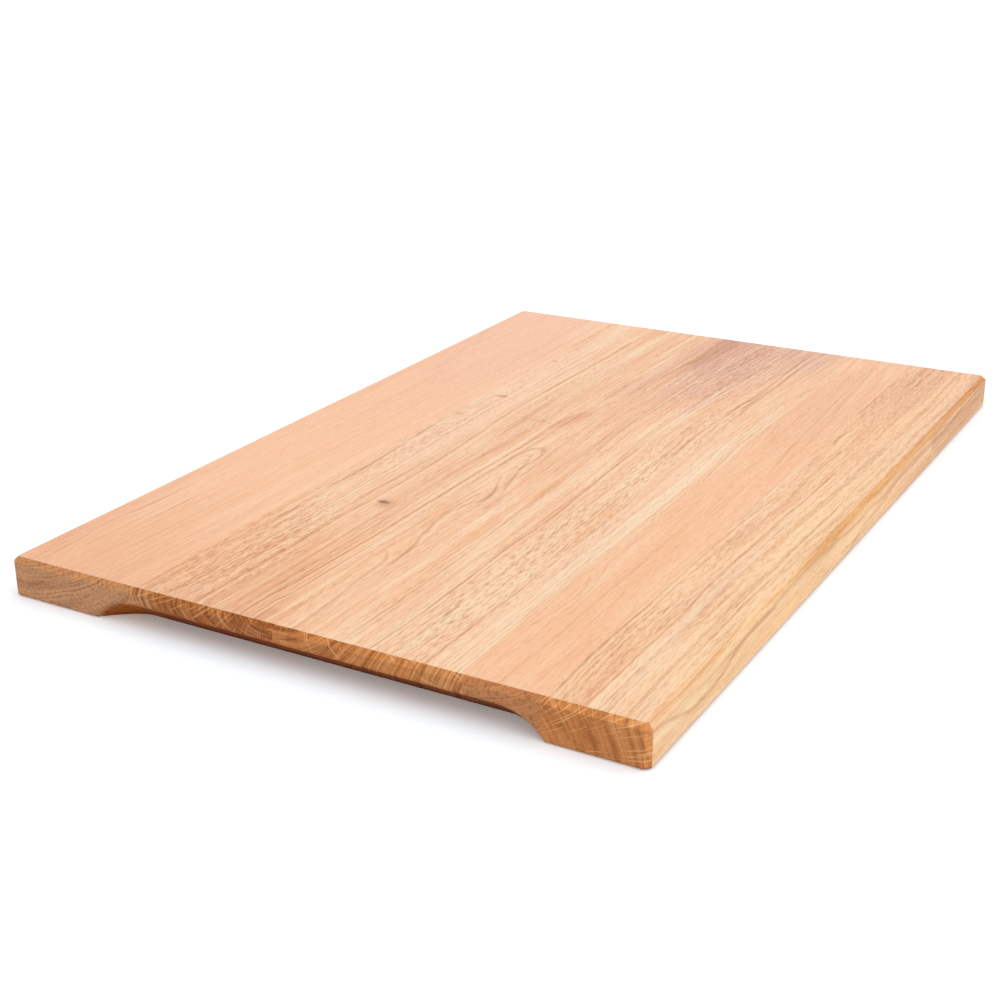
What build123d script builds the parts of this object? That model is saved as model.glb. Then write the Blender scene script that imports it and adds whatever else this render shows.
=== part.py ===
from build123d import *
import math
import os

# Edge-glued oak cutting board: staves side by side with their grain along X, a film of glue between
# each two, softened edges all round and a finger recess cut into the underside of both ends.
# Frame: +X along the grain, +Y towards the plain edge stave, +Z up. The origin is in the middle of
# the underside. Left and right are as seen from the -X end, looking along +X. Lengths are in mm.

# The staves, from the +Y edge to the -Y edge. The board's width is what they and the glue add up to.
left_edge_width = 89.0
left_inner_width = 96.4
centre_width = 114.2
right_inner_width = 43.2
right_edge_width = 56.8
glue_thickness = 0.1

# The board
board_length = 600.0
board_thickness = 24.0

# Its edges: flat bevels, with their arrises sanded round
top_bevel = 3.0
bottom_bevel = 1.5
corner_bevel = 3.0
arris_radius = 0.7

# The finger recess under each end: an arch on the end face that slopes down to nothing under the board
left_foot_width = 60.5
right_foot_width = 54.0
recess_height = 15.0
recess_depth = 18.0
recess_end_radius = 36.0
# How much of the end face and of the recess the sanding takes off the arris between them
recess_arris = 0.8

# How far the recess cutters start outside the end face
cutter_overrun = 5.0
# How much of the way from the recess's inner end to the cutter's tip the cutter goes on
cutter_tip_share = 0.5

staves = [
    ("stave_left_edge", left_edge_width),
    ("stave_left_inner", left_inner_width),
    ("stave_centre", centre_width),
    ("stave_right_inner", right_inner_width),
    ("stave_right_edge", right_edge_width),
]
glue_lines = ["glue_line_1", "glue_line_2", "glue_line_3", "glue_line_4"]
board_width = sum(width for name, width in staves) + glue_thickness * len(glue_lines)


def board_blank():
    """The whole board as it comes off the planer, with its edges bevelled."""
    blank = Box(board_length, board_width, board_thickness, align=(Align.CENTER, Align.CENTER, Align.MIN))
    blank = chamfer(blank.edges().filter_by(Axis.Z), corner_bevel)
    blank = chamfer(blank.faces().sort_by(Axis.Z)[-1].edges(), top_bevel)
    blank = chamfer(blank.faces().sort_by(Axis.Z)[0].edges(), bottom_bevel)
    return blank


def cone_cutter(end_radius, tip_radius, slope):
    """What a cone-shaped cutter sweeps as it runs across the -X end, below the board's underside."""
    # The arch's round ends meet the underside this far outside their centres
    reach = math.sqrt(recess_end_radius**2 - (recess_end_radius - recess_height) ** 2)
    left_centre = board_width / 2 - left_foot_width - reach
    right_centre = -board_width / 2 + right_foot_width + reach
    axis_height = recess_height - recess_end_radius
    start_radius = end_radius + cutter_overrun * slope
    start = Plane(
        origin=(-board_length / 2 - cutter_overrun, (left_centre + right_centre) / 2, axis_height),
        x_dir=(0, 1, 0),
        z_dir=(1, 0, 0),
    )
    outline = start * SlotCenterToCenter(left_centre - right_centre, 2 * start_radius)
    travel = (start_radius - tip_radius) / slope
    return extrude(outline, travel, dir=(1, 0, 0), taper=math.degrees(math.atan(slope)))


def recess_cutters():
    """The cutter of the finger recess, and the blunter one that takes off its arris."""
    slope_angle = math.atan(recess_height / recess_depth)
    # Past the recess's inner end the cutter is below the board, so it only has to clear it
    tip_radius = (recess_end_radius - recess_height) * (1 - cutter_tip_share)
    recess = cone_cutter(recess_end_radius, tip_radius, math.tan(slope_angle))
    # Its flat leans alike to the end face and to the recess, and its tip ends in the recess
    arris_slope = math.tan(math.pi / 4 + slope_angle / 2)
    arris = cone_cutter(recess_end_radius + recess_arris, recess_end_radius - recess_arris, arris_slope)
    return [recess, arris]


def finished_board():
    """The blank with its arrises sanded round, then cut under both ends."""
    blank = board_blank()
    board = fillet(blank.edges(), arris_radius)
    for cutter in recess_cutters():
        board = board - cutter - mirror(cutter, about=Plane.YZ)
    return board


def strip(board, high_side, width):
    """The full-length strip of the board that runs from high_side towards -Y for a width."""
    slab = Box(board_length, width, board_thickness, align=(Align.CENTER, Align.MAX, Align.MIN))
    return board & Pos(0, high_side, 0) * slab


def main():
    os.makedirs("parts", exist_ok=True)
    board = finished_board()
    high_side = board_width / 2
    for index, (name, width) in enumerate(staves):
        export_step(strip(board, high_side, width), f"parts/{name}.step")
        high_side -= width
        if index < len(glue_lines):
            export_step(strip(board, high_side, glue_thickness), f"parts/{glue_lines[index]}.step")
            high_side -= glue_thickness


main()
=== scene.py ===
import math

import bpy
from mathutils import Matrix, Vector


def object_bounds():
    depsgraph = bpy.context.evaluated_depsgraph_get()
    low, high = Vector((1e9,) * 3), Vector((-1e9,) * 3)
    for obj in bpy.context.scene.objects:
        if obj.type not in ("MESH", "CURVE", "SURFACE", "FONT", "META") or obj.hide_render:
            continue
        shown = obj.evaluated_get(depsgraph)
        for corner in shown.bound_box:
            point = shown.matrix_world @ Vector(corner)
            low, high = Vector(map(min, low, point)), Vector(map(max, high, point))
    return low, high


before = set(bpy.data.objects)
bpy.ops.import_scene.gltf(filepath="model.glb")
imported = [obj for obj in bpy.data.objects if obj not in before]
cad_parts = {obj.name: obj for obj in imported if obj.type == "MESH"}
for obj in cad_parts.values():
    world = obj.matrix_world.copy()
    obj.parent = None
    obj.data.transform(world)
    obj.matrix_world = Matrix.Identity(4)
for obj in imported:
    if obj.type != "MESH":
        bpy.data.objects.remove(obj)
cad_low, cad_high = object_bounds()

# An edge-glued oak cutting board. The staves keep the frame's shapes, and each gets its own oak:
# a solid wood whose rings go round the stave's own pith and show on every face that cuts them.
# Lengths in the materials are in mm, in the frame's axes: X along the grain, Y across the staves, Z up.
MM_PER_METRE = 1000.0
board_end = cad_high[0] * MM_PER_METRE

# The camera looks at the middle of the underside from this side, then steps aside to frame the board
camera_azimuth = math.radians(-60.0)
camera_elevation = math.radians(21.935)
camera_distance = 1.0775
camera_roll = math.radians(-0.61)
camera_step_right = -0.0441
camera_step_up = -0.0082
camera_lens = 58.27
sensor_width = 36.0

# Light: a soft white dome, and one broad soft lamp overhead, a little to the right
dome_strength = 0.75
lamp_direction = Vector((-0.05, -0.38, 0.92))
lamp_strength = 0.955
lamp_spread = math.radians(70)

# The floor reaches past the view, a hair below the underside so that the two faces stay apart.
# Its white is a cool one, and a warm glow lifts its shadows.
floor_half_width = 8.0
floor_drop = 0.0001
floor_bounce = 0.86
floor_white = (0.89, 0.97, 1.04, 1.0)
floor_glow = 0.17
floor_glow_colour = (1.0, 0.88, 0.78, 1.0)

WHITE = (1.0, 1.0, 1.0, 1.0)

# Oak colours along the grain
PEACH = (0.935, 0.535, 0.318, 1.0)
CREAM = (0.935, 0.57, 0.35, 1.0)
PALE = (0.975, 0.65, 0.45, 1.0)
STRAW = (0.99, 0.735, 0.50, 1.0)
BUTTER = (0.985, 0.65, 0.375, 1.0)
BLUSH = (0.915, 0.535, 0.372, 1.0)
HONEY = (0.885, 0.46, 0.235, 1.0)
RUSSET = (0.82, 0.435, 0.255, 1.0)
ROSE = (0.68, 0.355, 0.275, 1.0)
# What darker streaks, pores, bevels and knots leave of the colour under them
STREAK_TINT = (0.66, 0.48, 0.35, 1.0)
PORE_TINT = (0.52, 0.34, 0.22, 1.0)
BEVEL_TINT = (0.86, 0.72, 0.48, 1.0)
KNOT_TINT = (0.38, 0.25, 0.22, 1.0)
# And what is left of it in the recess: end grain that soaks up oil, darkened further with painted shade,
# deepest under the lip and lighter in the open at its end
LIP_SHADE_AND_OIL = (0.42, 0.26, 0.15, 1.0)
RECESS_SHADE_AND_OIL = (0.72, 0.40, 0.09, 1.0)
# Oak colours across the grain
END_TAN = (0.59, 0.30, 0.15, 1.0)
END_RED = (0.38, 0.115, 0.03, 1.0)
END_AMBER = (0.59, 0.225, 0.066, 1.0)
END_BEVEL = (1.03, 0.98, 0.85, 1.0)
END_TINT = (0.42, 0.31, 0.23, 1.0)
RAY_PALE = (0.86, 0.45, 0.20, 1.0)

# Noise lies about its middle. A pattern starts at the first of two values of its noise and is full at
# the second.
NOISE_MIDDLE = 0.5
blush_part = (0.45, 0.7)
straw_part = (0.52, 0.3)
pale_part = (0.5, 0.3)
dark_part = (0.5, 0.75)
dark_dash_part = (0.48, 0.7)
pore_part = (0.55, 0.7)
end_pale_part = (0.5, 0.28)
end_dark_part = (0.45, 0.7)
# How strong the pale part of a pattern is beside its dark part, along the grain and across it
pale_share = 0.8
end_pale_share = 0.5
# How strong the pale edge of a grain line is beside the line
edge_share = 0.5
# Pores are denser in the darker bands: their share of a band's depth, and what is taken off it
pore_gain = 1.2
pore_loss = -0.1
# How much less the dashes show on the upright sides
side_calm = 0.6
# What a bevel has of its tint before the tint grows along the board
bevel_start = 0.1
# How far in from the end faces the recess's oil tint and painted shade start, behind the sanded arris, and
# where they are full; the soft start paints the shading of a rounded arris
recess_part = (0.7, 4.5)

# The finish: roughness of the sanded wood, and what each of these adds to it
sanded_roughness = 0.38
band_roughness = 0.16
pore_roughness = 0.2
end_roughness = 0.25
recess_roughness = 0.3
# The gloss of the oil, and the fine relief of pores and dashes
oil_gloss = 0.22
pore_hollow = -0.7
dash_relief = 0.3
relief_strength = 0.08
relief_height = 0.0002

# The glue: its place in the noise, where dust in it shows and how deep, and how rough its smears are
glue_seed = 3.0
glue_sway = 0.5
dust_part = (0.4, 0.7)
dust_depth = (0.2, 0.7)
smear_part = (0.3, 0.7)
glue_roughness = (0.35, 0.5)


def join(tree, value, socket):
    """Lead a socket into another, or set it to a plain value."""
    if isinstance(value, bpy.types.NodeSocket):
        tree.links.new(value, socket)
    else:
        socket.default_value = value


def add(tree, kind, inputs=None, **settings):
    """A new node with its settings made and its named inputs joined."""
    node = tree.nodes.new(kind)
    for name, value in settings.items():
        setattr(node, name, value)
    for name, value in (inputs or {}).items():
        join(tree, value, node.inputs[name])
    return node


def calc(tree, operation, *values):
    """The outcome of one step of arithmetic."""
    node = add(tree, "ShaderNodeMath", operation=operation)
    for value, socket in zip(values, node.inputs):
        join(tree, value, socket)
    return node.outputs[0]


def ramp(tree, value, low, high, at_low=0.0, at_high=1.0):
    """A smooth change from at_low to at_high as the value goes from low to high."""
    node = add(tree, "ShaderNodeMapRange", interpolation_type="SMOOTHSTEP", clamp=True)
    for socket, given in zip(node.inputs, (value, low, high, at_low, at_high)):
        join(tree, given, socket)
    return node.outputs[0]


def vector(tree, x, y, z):
    """Three values as one vector."""
    return add(tree, "ShaderNodeCombineXYZ", {"X": x, "Y": y, "Z": z}).outputs[0]


def stretched(tree, place, steps, seed):
    """A place in the noise, which takes so many steps per mm along X, Y and Z."""
    x, y, z = place
    return vector(
        tree,
        calc(tree, "MULTIPLY_ADD", x, steps[0], seed),
        calc(tree, "MULTIPLY", y, steps[1]),
        calc(tree, "MULTIPLY", z, steps[2]),
    )


def noise_node(tree, place, detail, roughness=0.5):
    """Smooth noise at a place, in steps of one."""
    inputs = {"Vector": place, "Scale": 1.0, "Detail": detail, "Roughness": roughness}
    return add(tree, "ShaderNodeTexNoise", inputs, noise_dimensions="3D")


def noise(tree, place, detail, roughness=0.5):
    """One value of smooth noise."""
    return noise_node(tree, place, detail, roughness).outputs[0]


def noise_pair(tree, place, detail):
    """Two values of smooth noise that don't follow each other."""
    colour = noise_node(tree, place, detail).outputs["Color"]
    return add(tree, "ShaderNodeSeparateColor", {"Color": colour}).outputs[:2]


def mix(tree, share, first, second, blend="MIX"):
    """Two colours mixed by a share of the second."""
    node = add(tree, "ShaderNodeMix", data_type="RGBA", blend_type=blend, clamp_factor=True)
    # The node has sockets for several kinds of data. These are the share's and the colours'.
    for value, number in ((share, 0), (first, 6), (second, 7)):
        join(tree, value, node.inputs[number])
    return node.outputs[2]


def tint(tree, share, colour, left):
    """A colour darkened by a share towards what a tint leaves of it."""
    return mix(tree, share, colour, left, "MULTIPLY")


def start_group(name, inputs, outputs):
    """An empty node group with number sockets, and its own ends to join to."""
    tree = bpy.data.node_groups.new(name, "ShaderNodeTree")
    for sockets, side in ((inputs, "INPUT"), (outputs, "OUTPUT")):
        for socket in sockets:
            tree.interface.new_socket(socket, in_out=side, socket_type="NodeSocketFloat")
    given = tree.nodes.new("NodeGroupInput").outputs
    wanted = tree.nodes.new("NodeGroupOutput").inputs
    return tree, given, wanted


def place_group(tree, group, values):
    """A group placed in a material, with its own values."""
    return add(tree, "ShaderNodeGroup", values, node_tree=group).outputs


def grain_place():
    """The place in the wood in mm, swaying a little across the grain, and how it tears along the grain."""
    # Noise steps per mm along X, Y and Z
    sway_steps = (1.0 / 70.0, 0.035, 0.035)
    tear_steps = (0.02, 0.55, 0.4)
    # How far a sway of 1 takes the grain from side to side
    sway_reach = 4.0
    tree, given, wanted = start_group("grain place", ["Sway", "Seed"], ["X", "Y", "Z", "Tear"])
    metres = add(tree, "ShaderNodeTexCoord").outputs["Object"]
    scaled = add(tree, "ShaderNodeVectorMath", {"Vector": metres, "Scale": MM_PER_METRE}, operation="SCALE")
    x, y, z = add(tree, "ShaderNodeSeparateXYZ", {"Vector": scaled.outputs[0]}).outputs
    sways = noise_pair(tree, stretched(tree, (x, y, z), sway_steps, given["Seed"]), detail=3.0)
    reach = calc(tree, "MULTIPLY", given["Sway"], sway_reach)
    for axis, sway, name in zip((y, z), sways, ("Y", "Z")):
        side = calc(tree, "SUBTRACT", sway, NOISE_MIDDLE)
        join(tree, calc(tree, "MULTIPLY_ADD", side, reach, axis), wanted[name])
    join(tree, x, wanted["X"])
    tear = noise(tree, stretched(tree, (x, y, z), tear_steps, given["Seed"]), detail=3.0)
    join(tree, calc(tree, "SUBTRACT", tear, NOISE_MIDDLE), wanted["Tear"])
    return tree


def growth_rings():
    """Rings round a pith that runs along the grain."""
    # Where in a ring its open early wood ends, and where its dark late wood starts
    early_end = 0.3
    late_start = 0.9
    # Good and lean years: noise steps per ring, their row in the noise, and how many rings they shift
    year_steps = 0.4
    year_row = 7.0
    year_shift = 3.0
    # Noise steps of the finer bands: per ring, per radian round the pith and per mm along the grain
    band_steps = (1.3, 2.0, 0.006)
    inputs = ["X", "Y", "Z", "Pith Y", "Pith Z", "Ring Width", "Seed"]
    tree, given, wanted = start_group("growth rings", inputs, ["Line", "Band", "Radius", "Angle"])
    across = calc(tree, "SUBTRACT", given["Y"], given["Pith Y"])
    above = calc(tree, "SUBTRACT", given["Z"], given["Pith Z"])
    squares = calc(tree, "MULTIPLY_ADD", across, across, calc(tree, "MULTIPLY", above, above))
    radius = calc(tree, "SQRT", squares)
    angle = calc(tree, "ARCTAN2", above, across)
    count = calc(tree, "DIVIDE", radius, given["Ring Width"])
    year_place = vector(tree, calc(tree, "MULTIPLY", count, year_steps), given["Seed"], year_row)
    count = calc(tree, "MULTIPLY_ADD", noise(tree, year_place, detail=1.0), year_shift, count)
    # Each ring has a line, of its own depth
    number = calc(tree, "ADD", calc(tree, "FLOOR", count), given["Seed"])
    depth = add(tree, "ShaderNodeTexWhiteNoise", {"W": number}, noise_dimensions="1D").outputs["Value"]
    ring = calc(tree, "FRACT", count)
    opening = ramp(tree, ring, 0.0, early_end, 1.0, 0.0)
    closing = ramp(tree, ring, late_start, 1.0)
    line = calc(tree, "MULTIPLY", calc(tree, "MAXIMUM", opening, closing), depth)
    # Finer bands of lighter and darker wood between the ring lines, which come and go along the grain
    band_place = vector(
        tree,
        calc(tree, "MULTIPLY_ADD", count, band_steps[0], given["Seed"]),
        calc(tree, "MULTIPLY", angle, band_steps[1]),
        calc(tree, "MULTIPLY", given["X"], band_steps[2]),
    )
    band = noise(tree, band_place, detail=4.0, roughness=0.65)
    for value, name in ((line, "Line"), (band, "Band"), (radius, "Radius"), (angle, "Angle")):
        join(tree, value, wanted[name])
    return tree


def wood_rays():
    """Thin pale sheets that run out from the pith, and short dark flecks between them."""
    # Noise steps per mm along the grain
    along_steps = 0.05
    # name, noise steps per mm out from the pith, and the part of the noise that shows
    layers = (
        ("Ray", 0.03, (0.6, 0.68)),
        ("Fleck", 0.4, (0.5, 0.68)),
    )
    inputs = ["X", "Radius", "Angle", "Ray Gap", "Seed"]
    tree, given, wanted = start_group("wood rays", inputs, [layer[0] for layer in layers])
    turn = calc(tree, "DIVIDE", given["Angle"], given["Ray Gap"])
    along = calc(tree, "MULTIPLY_ADD", given["X"], along_steps, given["Seed"])
    for name, steps, part in layers:
        out = calc(tree, "MULTIPLY", given["Radius"], steps)
        sheet = noise(tree, vector(tree, turn, out, along), detail=1.0)
        join(tree, ramp(tree, sheet, *part), wanted[name])
    return tree


def wood_fibre():
    """Streaks, dashes, mottling and pores, from long and soft to short and sharp."""
    # name, length and width in mm, detail
    layers = (
        ("Streak", 110.0, 2.4, 3.0),
        ("Dash", 8.0, 0.8, 2.0),
        ("Mottle", 4.0, 1.3, 2.0),
        ("Pore", 7.0, 0.45, 1.0),
    )
    tree, given, wanted = start_group("wood fibre", ["X", "Y", "Z", "Seed"], [layer[0] for layer in layers])
    place = (given["X"], given["Y"], given["Z"])
    for name, length, width, detail in layers:
        steps = (1.0 / length, 1.0 / width, 1.0 / width)
        join(tree, noise(tree, stretched(tree, place, steps, given["Seed"]), detail), wanted[name])
    return tree


def slow_drift():
    """Broad patches where the wood's tone shifts."""
    patch_length = 140.0
    patch_width = 10.0
    steps = (1.0 / patch_length, 1.0 / patch_width, 1.0 / patch_width)
    tree, given, wanted = start_group("slow drift", ["X", "Y", "Z", "Seed"], ["Drift", "Blush"])
    place = (given["X"], given["Y"], given["Z"])
    patches = noise_pair(tree, stretched(tree, place, steps, given["Seed"]), detail=3.0)
    for patch, name in zip(patches, ("Drift", "Blush")):
        join(tree, patch, wanted[name])
    return tree


def cut_faces():
    """Where the surface cuts across the fibres, and where it is a bevel, a recess or an upright side."""
    # How far the surface faces along the grain, sideways, along any one axis, and down
    end_lean = (0.15, 0.55)
    side_lean = (0.5, 0.9)
    flat_lean = (0.8, 0.97)
    down_lean = (-0.1, -0.4)
    tree, given, wanted = start_group("cut faces", [], ["End", "Bevel", "Recess", "Side"])
    normal = add(tree, "ShaderNodeTexCoord").outputs["Normal"]
    parts = add(tree, "ShaderNodeSeparateXYZ", {"Vector": normal}).outputs
    lengths = [calc(tree, "ABSOLUTE", part) for part in parts]
    join(tree, ramp(tree, lengths[0], *end_lean), wanted["End"])
    join(tree, ramp(tree, lengths[1], *side_lean), wanted["Side"])
    flattest = calc(tree, "MAXIMUM", calc(tree, "MAXIMUM", lengths[0], lengths[1]), lengths[2])
    sloping = ramp(tree, flattest, *flat_lean, 1.0, 0.0)
    looks_down = ramp(tree, parts[2], *down_lean)
    join(tree, calc(tree, "MULTIPLY", sloping, looks_down), wanted["Recess"])
    join(tree, calc(tree, "MULTIPLY", sloping, calc(tree, "SUBTRACT", 1.0, looks_down)), wanted["Bevel"])
    return tree


def long_mark():
    """A soft-edged mark on the wood, drawn out and torn along the grain."""
    # How far a fully ragged mark is torn
    tear_reach = 4.0
    place = ["X", "Y", "Tear"]
    shape = ["Middle X", "Middle Y", "Half Length", "Half Width", "Slant", "Ragged"]
    tree, given, wanted = start_group("long mark", place + shape, ["Mark"])
    along = calc(tree, "SUBTRACT", given["X"], given["Middle X"])
    line = calc(tree, "MULTIPLY_ADD", along, given["Slant"], given["Middle Y"])
    across = calc(tree, "DIVIDE", calc(tree, "SUBTRACT", given["Y"], line), given["Half Width"])
    lengthwise = calc(tree, "DIVIDE", along, given["Half Length"])
    squares = calc(tree, "MULTIPLY_ADD", across, across, calc(tree, "MULTIPLY", lengthwise, lengthwise))
    torn = calc(tree, "MULTIPLY", given["Tear"], calc(tree, "MULTIPLY", given["Ragged"], tear_reach))
    join(tree, ramp(tree, calc(tree, "ADD", squares, torn), 0.0, 1.0, 1.0, 0.0), wanted["Mark"])
    return tree


def grain_line():
    """A dark line with a pale edge beside it, from how far along it and how far off it a place is."""
    # The share of the line's length in which each end fades
    fade = 0.06
    # How the tear in the grain thins the line out or swells it: from and to which tear, and by how much
    torn_depth = (0.2, -0.15, 0.45, 1.0)
    torn_width = (0.25, -0.25, 0.7, 1.5)
    # The pale edge: its distance in half widths of the line, and its width beside the line's
    edge_distance = 2.0
    edge_width = 1.4
    tree, given, wanted = start_group("grain line", ["Along", "Off", "Half Width", "Tear"], ["Line", "Edge"])
    starts = ramp(tree, given["Along"], 0.0, fade)
    stops = ramp(tree, given["Along"], 1.0, 1.0 - fade)
    torn = ramp(tree, given["Tear"], *torn_depth)
    depth = calc(tree, "MULTIPLY", calc(tree, "MULTIPLY", starts, stops), torn)
    width = calc(tree, "MULTIPLY", given["Half Width"], ramp(tree, given["Tear"], *torn_width))
    beside = calc(tree, "MULTIPLY_ADD", given["Half Width"], edge_distance, given["Off"])
    wider = calc(tree, "MULTIPLY", width, edge_width)
    for off, reach, name in ((given["Off"], width, "Line"), (beside, wider, "Edge")):
        share = calc(tree, "DIVIDE", calc(tree, "ABSOLUTE", off), reach)
        join(tree, calc(tree, "MULTIPLY", ramp(tree, share, 0.0, 1.0, 1.0, 0.0), depth), wanted[name])
    return tree


GROUPS = {
    "place": grain_place(),
    "rings": growth_rings(),
    "rays": wood_rays(),
    "fibre": wood_fibre(),
    "drift": slow_drift(),
    "cut": cut_faces(),
    "mark": long_mark(),
    "line": grain_line(),
}


def course(tree, x, points):
    """A smooth course through points, as how far along it a place is and where across it runs there."""
    # Room on both sides, so that the curve can swing past its outermost points
    margin = 1.0
    start = points[0][0]
    length = points[-1][0] - start
    low = min(point[1] for point in points) - margin
    height = max(point[1] for point in points) + margin - low
    along = calc(tree, "DIVIDE", calc(tree, "SUBTRACT", x, start), length)
    node = add(tree, "ShaderNodeFloatCurve", {"Value": along})
    spots = [((point[0] - start) / length, (point[1] - low) / height) for point in points]
    curve = node.mapping.curves[0]
    curve.points[0].location = spots[0]
    curve.points[1].location = spots[-1]
    for spot in spots[1:-1]:
        curve.points.new(*spot)
    node.mapping.update()
    return along, calc(tree, "MULTIPLY_ADD", node.outputs[0], height, low)


def start_material(name):
    """A new material, with its nodes and its shader."""
    material = bpy.data.materials.new(name)
    material.use_nodes = True
    return material, material.node_tree, material.node_tree.nodes["Principled BSDF"]


def oak(name, look, tones, lines, tongues=(), marks=(), knots=(), zones=(), side_lines=(), end_tones=()):
    """One stave's oak: tones colour it, lines, tongues, marks and knots darken it, and zones break it up."""
    material, tree, shader = start_material(name)
    seed = look["seed"]
    place = place_group(tree, GROUPS["place"], {"Sway": look["sway"], "Seed": seed})
    x, y, z = place["X"], place["Y"], place["Z"]
    bent_place = {
        "X": x,
        "Y": calc(tree, "SUBTRACT", y, course(tree, x, look["bend"])[1]),
        "Z": z,
        "Seed": seed,
    }
    rings = place_group(tree, GROUPS["rings"], {
        **bent_place,
        "Pith Y": look["pith"][0],
        "Pith Z": look["pith"][1],
        "Ring Width": look["ring_width"],
    })
    rays = place_group(tree, GROUPS["rays"], {
        "X": x,
        "Radius": rings["Radius"],
        "Angle": rings["Angle"],
        "Ray Gap": look["ray_gap"],
        "Seed": seed,
    })
    fibre = place_group(tree, GROUPS["fibre"], bent_place)
    drift = place_group(tree, GROUPS["drift"], bent_place)
    cut = place_group(tree, GROUPS["cut"], {})

    def mark(strength, middle, half_size, slant=0.0, ragged=0.4):
        """How much of a mark there is at a place."""
        shape = place_group(tree, GROUPS["mark"], {
            "X": x,
            "Y": y,
            "Tear": place["Tear"],
            "Middle X": middle[0],
            "Middle Y": middle[1],
            "Half Length": half_size[0],
            "Half Width": half_size[1],
            "Slant": slant,
            "Ragged": ragged,
        })
        return calc(tree, "MULTIPLY", shape["Mark"], strength)

    def draw(colour, strength, half_width, along, off):
        """A grain line drawn on a colour."""
        line = place_group(tree, GROUPS["line"], {
            "Along": along,
            "Off": off,
            "Half Width": half_width,
            "Tear": place["Tear"],
        })
        colour = mix(tree, calc(tree, "MULTIPLY", line["Edge"], strength * edge_share), colour, STRAW)
        return tint(tree, calc(tree, "MULTIPLY", line["Line"], strength), colour, STREAK_TINT)

    def draw_line(colour, across, strength, half_width, points):
        """A grain line through points."""
        along, where = course(tree, x, points)
        return draw(colour, strength, half_width, along, calc(tree, "SUBTRACT", across, where))

    def draw_tongue(colour, strength, half_width, reach, tip, rounding, points):
        """A grain line that goes round the tip of a tongue and back."""
        along, axis = course(tree, x, points)
        across = calc(tree, "DIVIDE", calc(tree, "SUBTRACT", y, axis), reach)
        past = calc(tree, "DIVIDE", calc(tree, "SUBTRACT", x, tip - rounding), rounding)
        past = calc(tree, "MAXIMUM", past, 0.0)
        squares = calc(tree, "MULTIPLY_ADD", across, across, calc(tree, "MULTIPLY", past, past))
        off = calc(tree, "MULTIPLY", calc(tree, "SUBTRACT", calc(tree, "SQRT", squares), 1.0), reach)
        return draw(colour, strength, half_width, along, off)

    def stripe(colour, pattern, strength):
        """A colour made paler in one part of a pattern and darker in the other."""
        colour = mix(tree, ramp(tree, pattern, *pale_part, 0.0, strength * pale_share), colour, STRAW)
        return tint(tree, ramp(tree, pattern, *dark_part, 0.0, strength), colour, STREAK_TINT)

    broken = 0.0
    for zone in zones:
        broken = calc(tree, "ADD", mark(*zone), broken)

    # Along the grain: broad tones, then rings and streaks, then dashes
    face = look["colour"]
    face = mix(tree, ramp(tree, drift["Blush"], *blush_part, 0.0, look["drift"]), face, look["drift_colour"])
    face = mix(tree, ramp(tree, drift["Drift"], *straw_part, 0.0, look["drift"]), face, STRAW)
    for colour, *tone in tones:
        face = mix(tree, mark(*tone), face, colour)
    face = stripe(face, rings["Band"], look["band"])
    face = tint(tree, calc(tree, "MULTIPLY", rings["Line"], look["line"]), face, STREAK_TINT)
    face = stripe(face, fibre["Streak"], look["streak"])
    dash_show = calc(tree, "MULTIPLY_ADD", cut["Side"], -side_calm, 1.0)
    dash_depth = calc(tree, "MULTIPLY", calc(tree, "ADD", look["dash"], broken), dash_show)
    dark_dash = calc(tree, "MULTIPLY", ramp(tree, fibre["Dash"], *dark_dash_part), dash_depth)
    pale_dash = calc(tree, "MULTIPLY", ramp(tree, fibre["Dash"], *pale_part, 0.0, pale_share), dash_depth)
    face = mix(tree, pale_dash, face, STRAW)
    face = tint(tree, dark_dash, face, STREAK_TINT)

    # Then the marks and lines that are the stave's own, mottling, pores and knots
    for dark in marks:
        face = tint(tree, mark(*dark), face, STREAK_TINT)
    for line in lines:
        face = draw_line(face, y, *line)
    for tongue in tongues:
        face = draw_tongue(face, *tongue)
    for line in side_lines:
        face = mix(tree, cut["Side"], face, draw_line(face, z, *line))
    mottle_depth = calc(tree, "ADD", look["mottle"], calc(tree, "MULTIPLY", broken, look["mottled_zones"]))
    mottle = calc(tree, "MULTIPLY", ramp(tree, fibre["Mottle"], *dark_part), mottle_depth)
    face = tint(tree, mottle, face, STREAK_TINT)
    pore_zone = calc(tree, "MULTIPLY_ADD", rings["Band"], pore_gain, pore_loss)
    pore = calc(tree, "MULTIPLY", ramp(tree, fibre["Pore"], *pore_part), pore_zone)
    face = tint(tree, calc(tree, "MULTIPLY", pore, look["pore"]), face, PORE_TINT)
    for left, *knot in knots:
        face = tint(tree, mark(*knot), face, left)

    # Across the grain: bands and lines of the same rings, crossed by rays
    ends = look["end_colour"]
    for colour, *tone in end_tones:
        ends = mix(tree, mark(*tone), ends, colour)
    end_pale = ramp(tree, rings["Band"], *end_pale_part, 0.0, look["end_band"] * end_pale_share)
    ends = mix(tree, end_pale, ends, RAY_PALE)
    ends = tint(tree, ramp(tree, rings["Band"], *end_dark_part, 0.0, look["end_band"]), ends, END_TINT)
    ends = tint(tree, calc(tree, "MULTIPLY", rings["Line"], look["end_line"]), ends, END_TINT)
    ends = tint(tree, calc(tree, "MULTIPLY", rays["Fleck"], look["fleck"]), ends, END_TINT)
    ends = mix(tree, calc(tree, "MULTIPLY", rays["Ray"], look["ray"]), ends, RAY_PALE)
    ends = tint(tree, cut["Bevel"], ends, look["end_bevel"])

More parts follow.
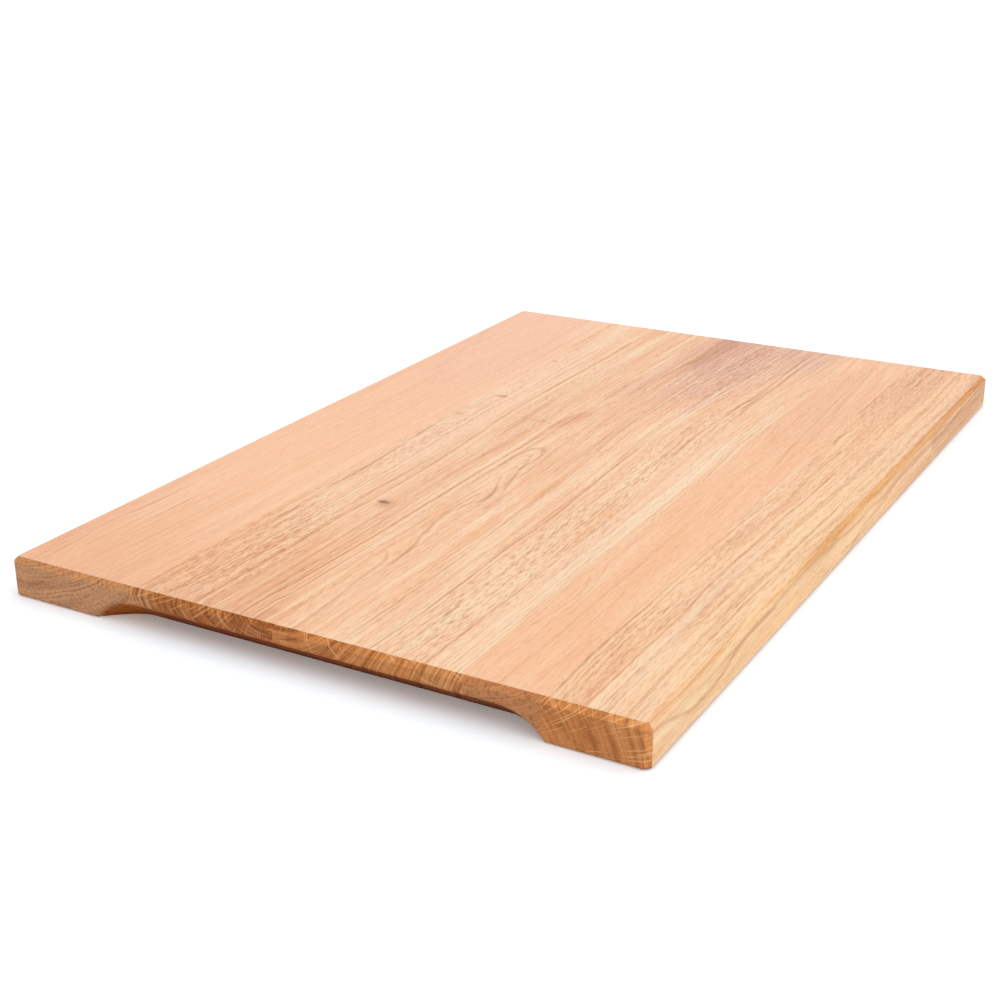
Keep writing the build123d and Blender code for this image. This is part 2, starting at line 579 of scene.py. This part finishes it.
    # Sides, bevels and the recess, and then the finish
    face = tint(tree, cut["Side"], face, look["side_tint"])
    bevel_depth = ramp(tree, x, *look["bevel_grows"], bevel_start, 1.0)
    face = tint(tree, calc(tree, "MULTIPLY", cut["Bevel"], bevel_depth), face, BEVEL_TINT)
    wood = mix(tree, cut["End"], face, ends)
    # The recess is darkened for its oil and with painted shade, which fades in behind the end faces
    from_end = calc(tree, "SUBTRACT", board_end, calc(tree, "ABSOLUTE", x))
    oil_and_shade = calc(tree, "MULTIPLY", cut["Recess"], ramp(tree, from_end, *recess_part))
    wood = tint(tree, oil_and_shade, wood, look["recess_shade_and_oil"])
    join(tree, wood, shader.inputs["Base Color"])
    rough = sanded_roughness
    for part, more in (
        (rings["Band"], band_roughness),
        (pore, pore_roughness),
        (cut["End"], end_roughness),
        (cut["Recess"], recess_roughness),
    ):
        rough = calc(tree, "MULTIPLY_ADD", part, more, rough)
    join(tree, rough, shader.inputs["Roughness"])
    relief = calc(tree, "MULTIPLY_ADD", pore, pore_hollow, calc(tree, "MULTIPLY", fibre["Dash"], dash_relief))
    grain = {"Height": relief, "Strength": relief_strength, "Distance": relief_height}
    join(tree, add(tree, "ShaderNodeBump", grain).outputs[0], shader.inputs["Normal"])
    shader.inputs["Specular IOR Level"].default_value = oil_gloss
    return material


def glue():
    """Clear-drying glue, sanded flush, with a little wood dust in it."""
    material, tree, shader = start_material("glue")
    place = place_group(tree, GROUPS["place"], {"Sway": glue_sway, "Seed": glue_seed})
    film = {"X": place["X"], "Y": place["Y"], "Z": place["Z"], "Seed": glue_seed}
    fibre = place_group(tree, GROUPS["fibre"], film)
    cut = place_group(tree, GROUPS["cut"], {})
    dust = ramp(tree, fibre["Mottle"], *dust_part, *dust_depth)
    face = tint(tree, dust, PEACH, STREAK_TINT)
    join(tree, mix(tree, cut["End"], face, END_AMBER), shader.inputs["Base Color"])
    join(tree, ramp(tree, fibre["Streak"], *smear_part, *glue_roughness), shader.inputs["Roughness"])
    return material


# What the staves share where their own look says nothing else. The pith is a place in Y and Z, the bend
# is how far the grain runs off in Y along X, and the bevel's tint grows between two places in X.
common = {
    "colour": CREAM,
    "side_tint": (1.0, 0.97, 0.86, 1.0),
    "end_colour": END_AMBER,
    "end_bevel": END_BEVEL,
    "bevel_grows": (-320, -310),
    "recess_shade_and_oil": LIP_SHADE_AND_OIL,
    "sway": 0.8,
    "bend": [(-310, 0), (310, 0)],
    "ring_width": 3.0,
    "ray_gap": 0.02,
    "line": 0.4,
    "band": 0.4,
    "streak": 0.3,
    "dash": 0.27,
    "mottle": 0.0,
    "mottled_zones": 0.0,
    "pore": 0.5,
    "drift": 0.6,
    "drift_colour": HONEY,
    "end_line": 0.7,
    "end_band": 0.8,
    "fleck": 0.25,
    "ray": 0.4,
}

# Tones have a colour, and then, as marks and zones do, a strength, a middle and half a size in X and Y,
# and where it matters a slant and how ragged they are. Lines have a strength, half a width, and the
# points in X and Y that they run through.
# The flame lies across the joint of the two staves that were cut beside the pith.
flame_lines = [
    (0.6, 1.7, [(-310, 3), (-296, 3.5), (-261, 4.4), (-233, 7), (-204, 9.6), (-196, 12.5), (-189, 17)]),
    (0.65, 1.6, [(-208, 3.4), (-180, 6.1), (-165, 9.3), (-149, 12.4), (-132, 14.4), (-116, 13), (-100, 8)]),
    (0.6, 1.4, [(-106, 8.6), (-94, 6.2), (-84, 7.4), (-69, 12.7), (-56, 17.2)]),
    (0.55, 1.5, [(-80, 2.8), (-58, 7.9), (-36, 13.2), (-21, 15.6)]),
    (0.5, 1.2, [(-147, 12.6), (-123, 16), (-104, 15.4), (-86, 14)]),
    (0.35, 1.1, [(-180, 20.6), (-146, 22), (-108, 19.8), (-80, 18.6)]),
]
# Tongues have a strength, half a width, how far they reach to each side of their axis, X of the tip,
# how much of the length before it is rounded, and the points that the axis runs through.
flame_tongues = [
    (0.6, 1.3, 7.4, 0, 24, [(-44, 20), (-16, 19.4), (24, 18.6)]),
    (0.3, 1.2, 4.0, -14, 16, [(-46, 20.4), (-20, 20), (14, 19)]),
]

left_edge = {
    **common,
    "colour": PEACH,
    "seed": 11.0,
    "pith": (200.0, 130.0),
    "bend": [(-310, -1), (-242, 2), (-200, 0), (-160, -0.5), (310, 0)],
    "ring_width": 1.7,
    "ray_gap": 0.008,
    "end_colour": END_TAN,
    "end_bevel": (1.06, 0.95, 0.77, 1.0),
    "recess_shade_and_oil": RECESS_SHADE_AND_OIL,
    "line": 0.1,
    "band": 0.15,
    "streak": 0.13,
    "dash": 0.13,
    "mottle": 0.12,
    "pore": 0.15,
    "drift": 0.28,
    "drift_colour": BLUSH,
    "end_line": 0.6,
    "end_band": 0.5,
    "fleck": 0.55,
    "ray": 0.2,
}
left_edge_tones = [
    (BLUSH, 0.8, (330, 160), (430, 80)),
    (HONEY, 0.5, (-340, 165), (170, 75)),
    (RUSSET, 0.55, (-335, 160), (200, 85)),
    (RUSSET, 0.6, (-310, 187), (230, 15)),
    (RUSSET, 0.5, (-325, 128), (100, 26)),
    (RUSSET, 0.2, (200, 189), (130, 6)),
    (PALE, 0.3, (0, 117), (200, 9)),
    (PALE, 0.5, (280, 123), (80, 12)),
]
left_edge_lines = [
    (
        0.5,
        0.9,
        [(-296, 181.6), (-288, 181.7), (-261, 183), (-242, 185), (-219, 184.6), (-200, 182.3), (-161, 182)],
    ),
    (0.35, 0.7, [(-305, 176), (-285, 176.2), (-265, 175.5)]),
    (0.35, 0.7, [(-215, 166.3), (-195, 166.3), (-175, 165.6)]),
    (0.25, 1.6, [(18, 171), (32, 165), (46, 157)]),
    (0.25, 1.6, [(78, 161), (96, 155), (114, 147)]),
    (0.25, 1.2, [(110, 119), (200, 118.6), (292, 119.4)]),
]

left_inner = {
    **common,
    "seed": 23.0,
    "pith": (17.0, 52.0),
    "ring_width": 2.8,
    "end_colour": (0.45, 0.16, 0.042, 1.0),
    # Its recess's oil tint and painted shade, close to the left edge stave's
    "recess_shade_and_oil": (0.60, 0.32, 0.10, 1.0),
    "drift": 0.75,
    "end_line": 0.9,
    "end_band": 1.0,
    "ray": 0.42,
    "mottle": 0.15,
    "mottled_zones": 1.0,
}
left_inner_tones = [
    (HONEY, 0.9, (-320, 70), (190, 75)),
    (RUSSET, 0.6, (-330, 70), (130, 70)),
    (RUSSET, 0.35, (40, 51), (330, 14)),
    (PALE, 0.75, (80, 92), (240, 26)),
    (PALE, 0.6, (-60, 75), (70, 5)),
    (PALE, 0.5, (-60, 18), (60, 7)),
    (ROSE, 0.45, (210, 19), (160, 8)),
    (RUSSET, 0.5, (-310, 56), (170, 12)),
    (RUSSET, 0.45, (-310, 30), (80, 14)),
    (STRAW, 0.5, (-129, 96), (30, 6.5)),
    (STRAW, 0.6, (67, 109), (18, 5.5)),
    (STRAW, 0.6, (97, 105), (10, 5.5)),
    (STRAW, 0.2, (-240, 20), (50, 4)),
    (STRAW, 0.35, (208, 25), (36, 3.4)),
    (STRAW, 0.4, (100, 27), (10, 5)),
    (STRAW, 0.6, (8, 37), (90, 1.8)),
    (STRAW, 0.4, (-23, 103), (14, 2.5)),
    (RUSSET, 1.0, (62, 28), (34, 7), -0.2, 0.2),
    (RUSSET, 1.0, (142, 27), (38, 6.5), 0.0, 0.2),
]
left_inner_lines = [
    (0.5, 1.0, [(-310, 86), (-200, 86.2), (-60, 87), (40, 89.6), (150, 88.6), (310, 87)]),
    (0.6, 1.4, [(-310, 68.2), (-150, 68), (-100, 67.2), (-40, 68.3), (0, 69.5)]),
    (0.8, 1.5, [(-20, 69.2), (20, 72), (60, 73.8), (120, 74.2), (170, 73), (260, 72)]),
    (0.35, 1.8, [(-310, 77.5), (-220, 77.4), (-158, 78.4)]),
    (0.35, 2.2, [(-310, 101.4), (-240, 101.8), (-160, 100.6)]),
    (0.6, 1.6, [(-130, 104.6), (-100, 102.4), (-60, 103.6), (-20, 106), (12, 106.6)]),
    (0.75, 0.9, [(-310, 38), (-273, 37.7), (-242, 35.8), (-185, 34.6), (-90, 33.4), (30, 31.6)]),
    (0.8, 0.8, [(-310, 31.4), (-275, 31.3), (-262, 29), (-127, 28.5), (-60, 27.6), (-20, 27)]),
    (0.4, 0.8, [(-310, 43.6), (-240, 43), (-120, 42.4), (-20, 41)]),
    (0.5, 0.7, [(108, 30.6), (150, 32), (200, 32), (240, 29), (292, 25)]),
    (0.3, 0.7, [(60, 66.5), (140, 66), (240, 66.6)]),
    (0.3, 0.7, [(50, 62.4), (140, 62), (230, 63)]),
    *flame_lines,
]
left_inner_marks = [
    (0.6, (84, 97), (4, 8)),
    (0.45, (36, 104), (4, 4)),
    (0.35, (178, 102), (4, 2.5)),
    (0.35, (215, 102), (4, 2.5)),
    (0.3, (49, 50), (3, 13)),
    (0.35, (-290, 26), (14, 4.5)),
]
# The knot's dark core and the darker wood round it, each with what it leaves of the colour
left_inner_knots = [
    (KNOT_TINT, 0.85, (-129.2, 58.8), (3.0, 5.6), 0.0, 0.15),
    (STREAK_TINT, 0.5, (-131.2, 55.8), (9.0, 8.0), 0.0, 0.3),
]
left_inner_end_tones = [
    (END_RED, 0.6, (-300, 36), (900, 56)),
    (END_RED, 0.6, (-300, 25), (900, 15)),
    (END_TAN, 0.5, (-300, 106), (900, 12)),
]
left_inner_zones = [
    (0.48, (-235, 86), (120, 32)),
    (0.32, (-20, 98), (160, 14)),
    (0.3, (150, 65), (100, 6)),
]

centre = {
    **common,
    "seed": 31.0,
    "pith": (15.0, 60.0),
    "bend": [(-310, 0), (-160, 0.5), (-70, 2.5), (20, 6), (80, 9), (140, 8), (220, 3), (310, -4)],
    "drift": 0.75,
    "end_bevel": (1.08, 1.06, 1.0, 1.0),
    "end_line": 0.9,
    "end_band": 0.9,
    "ray": 0.45,
}
centre_tones = [
    (PALE, 0.6, (-100, -84), (260, 9)),
    (STRAW, 1.0, (-70, -89.5), (270, 7)),
    (STRAW, 0.25, (-220, -62), (190, 13)),
    (ROSE, 0.75, (320, -18), (245, 66)),
    (ROSE, 0.65, (295, -74), (90, 18)),
    (ROSE, 0.3, (-100, 1), (22, 12)),
    (RUSSET, 0.75, (160, 10), (130, 8)),
    (RUSSET, 0.45, (60, -9), (170, 8)),
    (RUSSET, 0.3, (-110, 9), (70, 4)),
    (RUSSET, 0.3, (-90, -28), (100, 5)),
]
centre_lines = [
    (
        0.5,
        0.8,
        [(-310, -26.3), (-185, -26.7), (-137, -23.5), (-79, -22.9), (0, -18.7), (80, -12), (220, -13)],
    ),
    (0.8, 1.0, [(-310, -43.7), (-223, -44.6), (-156, -42.7), (-108, -43.2), (-69, -41.7), (50, -37.6)]),
    (0.5, 1.2, [(-310, -57.5), (-200, -57.4), (-100, -56)]),
    (0.55, 0.8, [(-310, -77.2), (-240, -76.8), (-130, -75.6), (-48, -75)]),
    (0.5, 0.6, [(-310, -84.2), (-150, -84), (0, -85), (70, -86.5)]),
    (0.45, 0.6, [(-310, -95), (-150, -94.5), (0, -94.6)]),
    (0.6, 1.2, [(140, 11), (160, 13), (185, 12.2), (208, 11), (228, 7)]),
    (0.55, 1.1, [(108, -38), (160, -41), (222, -45.5)]),
    (0.7, 1.2, [(-6, -64.2), (60, -62), (140, -64), (180, -67), (222, -66), (300, -68)]),
    (0.75, 1.8, [(130, -69), (200, -70.5), (248, -71), (310, -77)]),
    *flame_lines,
]
centre_marks = [(0.5, (280, 5), (90, 13))]
centre_end_tones = [
    (RAY_PALE, 0.3, (-300, -92), (900, 22)),
    (END_RED, 0.25, (-300, 6), (900, 18)),
]
centre_zones = [
    (0.6, (-190, -62), (240, 24)),
    (0.45, (60, -60), (130, 18)),
    (0.35, (220, -30), (110, 40)),
]

right_inner = {
    **common,
    "colour": PEACH,
    "seed": 41.0,
    "pith": (-95.0, 95.0),
    "bend": [(-310, 0), (0, 0), (150, 5), (310, 13)],
    "ring_width": 1.3,
    "line": 0.1,
    "band": 0.15,
    "streak": 0.2,
    "dash": 0.2,
    "mottle": 0.12,
    "pore": 0.2,
    "drift": 0.35,
    "end_colour": (0.56, 0.24, 0.097, 1.0),
    "end_bevel": (1.06, 0.98, 0.9, 1.0),
    "fleck": 0.45,
    "end_line": 1.0,
    "end_band": 0.3,
    "ray": 0.1,
}
right_inner_tones = [
    (RUSSET, 0.35, (180, -122), (160, 28)),
    (STRAW, 0.5, (272, -108), (26, 4.5), 0.1),
    (STRAW, 0.45, (268, -134), (30, 4.5), 0.1),
]
right_inner_lines = [
    (0.3, 1.0, [(-238, -100.5), (-215, -105), (-192, -106.5), (-172, -103.4), (-162, -99.6)]),
    (0.25, 0.8, [(-232, -103), (-200, -110), (-160, -106), (-140, -100)]),
    (0.25, 0.8, [(-310, -118), (-200, -119.5), (-60, -118)]),
    (0.25, 1.2, [(20, -132), (120, -124.5), (310, -117)]),
    (0.3, 1.4, [(150, -129), (230, -124), (310, -117.5)]),
]

right_edge = {
    **common,
    "colour": (0.97, 0.595, 0.345, 1.0),
    "seed": 57.0,
    "pith": (-115.0, -12.0),
    "bend": [(-310, -1.5), (-204, 0.3), (-96, -0.5), (0, -4), (60, -6), (310, -8)],
    "ring_width": 4.2,
    "sway": 1.0,
    "side_tint": (1.03, 1.03, 0.915, 1.0),
    "end_bevel": (1.16, 1.18, 1.15, 1.0),
    "bevel_grows": (-125, -60),
    "drift": 0.8,
    "drift_colour": RUSSET,
    "streak": 0.4,
    "dash": 0.42,
    "end_line": 0.5,
    "end_band": 0.6,
    "ray": 0.55,
    "ray_gap": 0.014,
}
right_edge_tones = [
    (STRAW, 0.55, (-150, -170.5), (190, 4.2)),
    (STRAW, 0.8, (0, -180), (170, 4.5)),
    (STRAW, 0.6, (-190, -190), (190, 6)),
    (STRAW, 0.5, (42, -183), (46, 4)),
    (BLUSH, 0.5, (-146, -180), (16, 4)),
    (BUTTER, 0.9, (-70, -188), (280, 18)),
    (HONEY, 0.85, (260, -155), (180, 26)),
    (ROSE, 0.25, (270, -158), (170, 24)),
    (RUSSET, 0.5, (-160, -162), (60, 6)),
    (RUSSET, 0.75, (330, -200), (330, 14)),
]
right_edge_lines = [
    (0.6, 0.8, [(-310, -146.6), (-204, -144.7), (-96, -145.5), (0, -150), (60, -152.5)]),
    (0.4, 0.6, [(-310, -149.4), (-200, -148), (-100, -149)]),
    (0.4, 0.7, [(-310, -155.6), (-230, -155.5), (-160, -155.7)]),
    (0.8, 1.0, [(-310, -164.6), (-204, -165), (-127, -163), (-88, -164), (0, -166.4), (60, -168)]),
    (0.4, 0.6, [(-310, -172), (-250, -172), (-190, -172.2)]),
    (0.4, 0.6, [(-310, -177), (-250, -177), (-200, -177)]),
    (0.5, 0.7, [(-205, -187), (-100, -186.8), (0, -188), (130, -188.5)]),
    (0.25, 0.7, [(-310, -196), (-100, -196), (60, -195.5)]),
    (0.65, 0.9, [(-304, -198), (-262, -198), (-215, -197.4), (-180, -196.8)]),
    (0.65, 1.2, [(98, -149.4), (114, -148.8), (130, -149.6)]),
    (0.6, 1.4, [(-4, -156), (40, -156.6), (90, -158.2)]),
    (0.6, 1.5, [(244, -155), (270, -155.2), (310, -155)]),
]
right_edge_zones = [(0.2, (-200, -155), (180, 10))]
# On the upright side the points are in X and Z
right_edge_side_lines = [
    (0.7, 2.3, [(-304, 21), (-284, 18.4), (-265, 13), (-240, 9.2), (-190, 17), (-177, 18.6), (-135, 17)]),
    (
        0.5,
        2.0,
        [(-150, 19), (-80, 20.8), (0, 15.4), (22, 16.2), (48, 14.2), (87, 17.2), (150, 16.8), (200, 14)],
    ),
    (0.8, 8.0, [(150, 15), (240, 13), (330, 13)]),
    (0.25, 4.0, [(-110, 20), (0, 19.5), (150, 19), (310, 19)]),
]

STAVES = {
    "stave_left_edge": {
        "look": left_edge,
        "tones": left_edge_tones,
        "lines": left_edge_lines,
    },
    "stave_left_inner": {
        "look": left_inner,
        "tones": left_inner_tones,
        "lines": left_inner_lines,
        "tongues": flame_tongues,
        "marks": left_inner_marks,
        "knots": left_inner_knots,
        "zones": left_inner_zones,
        "end_tones": left_inner_end_tones,
    },
    "stave_centre": {
        "look": centre,
        "tones": centre_tones,
        "lines": centre_lines,
        "tongues": flame_tongues,
        "marks": centre_marks,
        "zones": centre_zones,
        "end_tones": centre_end_tones,
    },
    "stave_right_inner": {
        "look": right_inner,
        "tones": right_inner_tones,
        "lines": right_inner_lines,
    },
    "stave_right_edge": {
        "look": right_edge,
        "tones": right_edge_tones,
        "lines": right_edge_lines,
        "zones": right_edge_zones,
        "side_lines": right_edge_side_lines,
    },
}


def dress_board():
    """Give each stave its own oak and each glue line its glue."""
    cured = glue()
    for name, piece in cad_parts.items():
        if name in STAVES:
            finish = oak(name.replace("stave", "oak"), **STAVES[name])
        else:
            finish = cured
        for slot in piece.material_slots:
            slot.material = finish


def place_camera():
    """The camera, off the corner of the near end and the right side, a little above the board."""
    back = Vector((
        math.sin(camera_azimuth) * math.cos(camera_elevation),
        -math.cos(camera_azimuth) * math.cos(camera_elevation),
        math.sin(camera_elevation),
    ))
    right = Vector((math.cos(camera_azimuth), math.sin(camera_azimuth), 0.0))
    up = back.cross(right)
    camera = bpy.data.objects.new("camera", bpy.data.cameras.new("camera"))
    bpy.context.scene.collection.objects.link(camera)
    camera.data.sensor_width = sensor_width
    camera.data.lens = camera_lens
    turned = Matrix((right, up, back)).transposed() @ Matrix.Rotation(camera_roll, 3, "Z")
    place = back * camera_distance + right * camera_step_right + up * camera_step_up
    camera.matrix_world = Matrix.Translation(place) @ turned.to_4x4()
    bpy.context.scene.camera = camera


def seen_directly(tree):
    """1 for what the camera, a reflection or clear glass sees, and 0 for light on other surfaces."""
    path = add(tree, "ShaderNodeLightPath").outputs
    mirrored = calc(tree, "MAXIMUM", path["Is Glossy Ray"], path["Is Transmission Ray"])
    return calc(tree, "MAXIMUM", path["Is Camera Ray"], mirrored)


def light_dome():
    """White all round to look at, and a soft light from all sides."""
    world = bpy.data.worlds.new("dome")
    world.use_nodes = True
    tree = world.node_tree
    background = tree.nodes["Background"]
    background.inputs["Color"].default_value = WHITE
    strength = calc(tree, "MULTIPLY_ADD", seen_directly(tree), 1.0 - dome_strength, dome_strength)
    join(tree, strength, background.inputs["Strength"])
    bpy.context.scene.world = world


def place_lamp():
    """The broad lamp."""
    lamp = bpy.data.objects.new("lamp", bpy.data.lights.new("lamp", "SUN"))
    bpy.context.scene.collection.objects.link(lamp)
    lamp.data.energy = lamp_strength
    lamp.data.angle = lamp_spread
    lamp.rotation_mode = "QUATERNION"
    lamp.rotation_quaternion = lamp_direction.to_track_quat("Z", "Y")


def lay_floor():
    """A white floor that keeps the board's shadow."""
    mesh = bpy.data.meshes.new("floor")
    w = floor_half_width
    low = -floor_drop
    mesh.from_pydata([(-w, -w, low), (w, -w, low), (w, w, low), (-w, w, low)], [], [(0, 1, 2, 3)])
    floor = bpy.data.objects.new("floor", mesh)
    bpy.context.scene.collection.objects.link(floor)
    material, tree, shader = start_material("white floor")
    shader.inputs["Roughness"].default_value = 1.0
    shader.inputs["Specular IOR Level"].default_value = 0.0
    seen = seen_directly(tree)
    bounce = (floor_bounce, floor_bounce, floor_bounce, 1.0)
    join(tree, mix(tree, seen, bounce, floor_white), shader.inputs["Base Color"])
    shader.inputs["Emission Color"].default_value = floor_glow_colour
    join(tree, calc(tree, "MULTIPLY", seen, floor_glow), shader.inputs["Emission Strength"])
    mesh.materials.append(material)


dress_board()
place_camera()
light_dome()
place_lamp()
lay_floor()
bpy.context.scene.view_settings.view_transform = "Standard"
